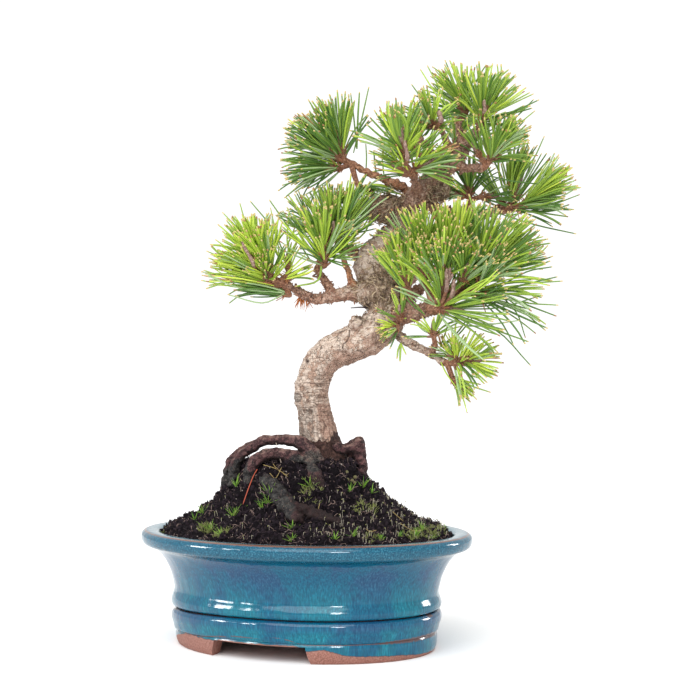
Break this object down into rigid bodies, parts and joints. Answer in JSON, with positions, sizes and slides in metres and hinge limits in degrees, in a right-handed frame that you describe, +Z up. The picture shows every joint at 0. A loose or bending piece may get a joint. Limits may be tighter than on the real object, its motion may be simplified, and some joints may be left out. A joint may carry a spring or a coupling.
{
  "type": "potted japanese black pine bonsai",
  "caption": "Small black pine bonsai with a bent, leaning trunk and brushes of stiff needles, rooted in a mound of peat in an oval glazed pot.",
  "frame": {"origin": "on the plane that the pot's foot stands on, below the middle of the whole part's bounding box", "axes": "+Z up, -Y towards the side of the picture, +X to that viewer's right; the pot's long side is turned 25 degrees clockwise seen from above"},
  "size_m": [0.2572, 0.17, 0.3441],
  "materials": {
    "glazed_pot": "glossy teal glaze on red-brown stoneware",
    "peat": "rough damp peat with moss",
    "trunk_bark": "dry cracked pale bark",
    "bough_bark": "rough scaly bark",
    "root_bark": "dark rough root bark",
    "needles": "satin green needles"
  },
  "bodies": {
    "root": {"bough_back_left": "bough_bark", "bough_back_right": "bough_bark", "bough_back_top": "bough_bark", "bough_centre": "bough_bark", "bough_front": "bough_bark", "bough_front_centre": "bough_bark", "bough_front_left": "bough_bark", "bough_front_middle": "bough_bark", "bough_front_right": "bough_bark", "bough_inner_left": "bough_bark", "bough_low_inner": "bough_bark", "bough_low_left": "bough_bark", "bough_low_right": "bough_bark", "bough_mid_left": "bough_bark", "bough_right": "bough_bark", "bough_top_front": "bough_bark", "bough_top_left": "bough_bark", "bough_top_right": "bough_bark", "bough_top_second": "bough_bark", "bough_upper_left": "bough_bark", "needles_back_left": "needles", "needles_back_right": "needles", "needles_back_top": "needles", "needles_centre": "needles", "needles_front": "needles", "needles_front_centre": "needles", "needles_front_left": "needles", "needles_front_middle": "needles", "needles_front_right": "needles", "needles_inner_left": "needles", "needles_low_inner": "needles", "needles_low_left": "needles", "needles_low_right": "needles", "needles_mid_left": "needles", "needles_right": "needles", "needles_top": "needles", "needles_top_front": "needles", "needles_top_left": "needles", "needles_top_right": "needles", "needles_top_second": "needles", "needles_trunk_tuft": "needles", "needles_upper_left": "needles", "pot": "glazed_pot", "root_arch_lower": "root_bark", "root_arch_upper": "root_bark", "root_back_left": "root_bark", "root_back_right": "root_bark", "root_base_front": "root_bark", "root_behind_right": "root_bark", "root_front": "root_bark", "root_front_low": "root_bark", "root_knot_right": "root_bark", "root_outer_left": "root_bark", "root_thin_right": "root_bark", "soil": "peat", "trunk": "trunk_bark"}
  },
  "joints": []
}
